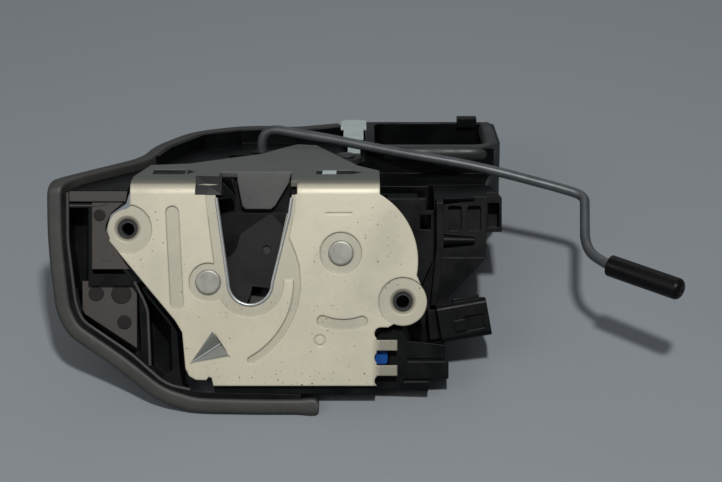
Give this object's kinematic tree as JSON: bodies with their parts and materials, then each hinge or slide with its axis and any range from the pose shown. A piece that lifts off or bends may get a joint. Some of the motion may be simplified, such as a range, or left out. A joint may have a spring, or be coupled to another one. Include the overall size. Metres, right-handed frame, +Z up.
{
  "type": "door latch actuator",
  "caption": "Vehicle door latch with a forked claw and pawl behind a bent steel face plate, and a sealed plastic actuator leg with a lock rod.",
  "frame": {"origin": "axis of the closed striker at the slot's round end, on the plate's outer face", "axes": "+Z up from the bench the part lies on, +X along the part towards the lock rod, -Y towards the face plate's outer side; the plate's normal is 38 degrees above -Y"},
  "size_m": [0.2109, 0.1379, 0.0629],
  "materials": {
    "plate_zinc": "satin, yellowish zinc",
    "dark_steel": "satin, phosphated",
    "bright_zinc": "satin, bluish zinc",
    "rod_steel": "satin, drawn wire",
    "black_plastic": "fine moulded texture",
    "grey_plastic": "satin moulded",
    "seal_rubber": "matt rubber",
    "sleeve_plastic": "satin moulded",
    "gear_plastic": "natural nylon",
    "blue_plastic": "satin moulded",
    "contact_metal": "tinned brass",
    "motor_steel": "drawn, nickel plated"
  },
  "bodies": {
    "latch_body": {"face_plate": "plate_zinc", "back_plate": "dark_steel", "screw_collars": "bright_zinc", "latch_housing": "black_plastic", "claw_rivet": "bright_zinc", "pawl_rivet": "bright_zinc", "claw_spring": "dark_steel", "pawl_spring": "dark_steel", "striker_buffer": "seal_rubber", "lever_pin": "bright_zinc", "actuator_housing": "black_plastic", "actuator_cover": "black_plastic", "motor_can": "motor_steel", "motor_cap": "black_plastic", "wheel_axle": "dark_steel", "lock_lever_pin": "dark_steel", "rim_clip": "bright_zinc", "side_tray": "grey_plastic", "rim_seal": "seal_rubber", "blue_catch": "blue_plastic", "side_housing": "black_plastic", "connector_socket": "black_plastic", "connector_terminals": "contact_metal", "circuit_carrier": "grey_plastic", "position_switches": "black_plastic", "cover_screws": "bright_zinc"},
    "claw": {"claw_core": "dark_steel", "claw_jacket": "grey_plastic"},
    "pawl": {"pawl_core": "dark_steel", "pawl_jacket": "grey_plastic"},
    "release_lever_body": {"release_lever": "bright_zinc"},
    "inner_lever_body": {"inner_lever": "bright_zinc"},
    "lock_lever_body": {"lock_lever": "grey_plastic"},
    "wheel": {"worm_wheel": "gear_plastic"},
    "worm": {"motor_worm": "contact_metal"},
    "lock_rod_body": {"lock_rod": "rod_steel", "rod_sleeve": "sleeve_plastic", "rod_clip": "black_plastic", "lock_slider": "gear_plastic"}
  },
  "joints": [
    {"name": "claw_turn", "type": "hinge", "parent": "latch_body", "child": "claw", "pos_m": [-0.014, 0.00491, -0.00346], "axis": [0, -0.788, 0.6157], "range_deg": [-74, 0], "stiffness_Nm_per_rad": 0.05, "springref_deg": 22.92, "deforming": ["claw_spring"]},
    {"name": "pawl_turn", "type": "hinge", "parent": "latch_body", "child": "pawl", "pos_m": [0.0303, 0.01089, 0.00419], "axis": [0, -0.788, 0.6157], "range_deg": [0, 14], "stiffness_Nm_per_rad": 0.05, "springref_deg": -28.65, "deforming": ["pawl_spring"]},
    {"name": "release_turn", "type": "hinge", "parent": "latch_body", "child": "release_lever_body", "pos_m": [0.037, 0.01822, -0.00916], "axis": [0, -0.788, 0.6157], "range_deg": [0, 10]},
    {"name": "inner_lever_turn", "type": "hinge", "parent": "latch_body", "child": "inner_lever_body", "pos_m": [0.037, 0.0198, -0.01039], "axis": [0, -0.788, 0.6157], "range_deg": [-15, 0], "stiffness_Nm_per_rad": 0.03, "springref_deg": 22.92},
    {"name": "wheel_turn", "type": "hinge", "parent": "latch_body", "child": "wheel", "pos_m": [0.021, 0.06886, -0.01023], "axis": [0, 0.3746, 0.9272], "range_deg": [0, 103]},
    {"name": "worm_turn", "type": "hinge", "parent": "latch_body", "child": "worm", "pos_m": [0.011, 0.08184, -0.01547], "axis": [1, 0, 0], "range_deg": [0, 2270]},
    {"name": "lock_rod_slide", "type": "slide", "parent": "latch_body", "child": "lock_rod_body", "axis": [1, 0, 0], "range_m": [-0.009, 0]},
    {"name": "lock_lever_turn", "type": "hinge", "parent": "latch_body", "child": "lock_lever_body", "pos_m": [0.0316, 0.0662, 0.00454], "axis": [0, 0.3746, 0.9272], "range_deg": [0, 15]}
  ],
  "couplings": [
    {"joint": "release_turn", "follows": "pawl_turn", "ratio": 0.7},
    {"joint": "worm_turn", "follows": "wheel_turn", "ratio": 22},
    {"joint": "lock_rod_slide", "follows": "wheel_turn", "m_per_rad": -0.005},
    {"joint": "lock_lever_turn", "follows": "wheel_turn", "ratio": 0.14}
  ]
}
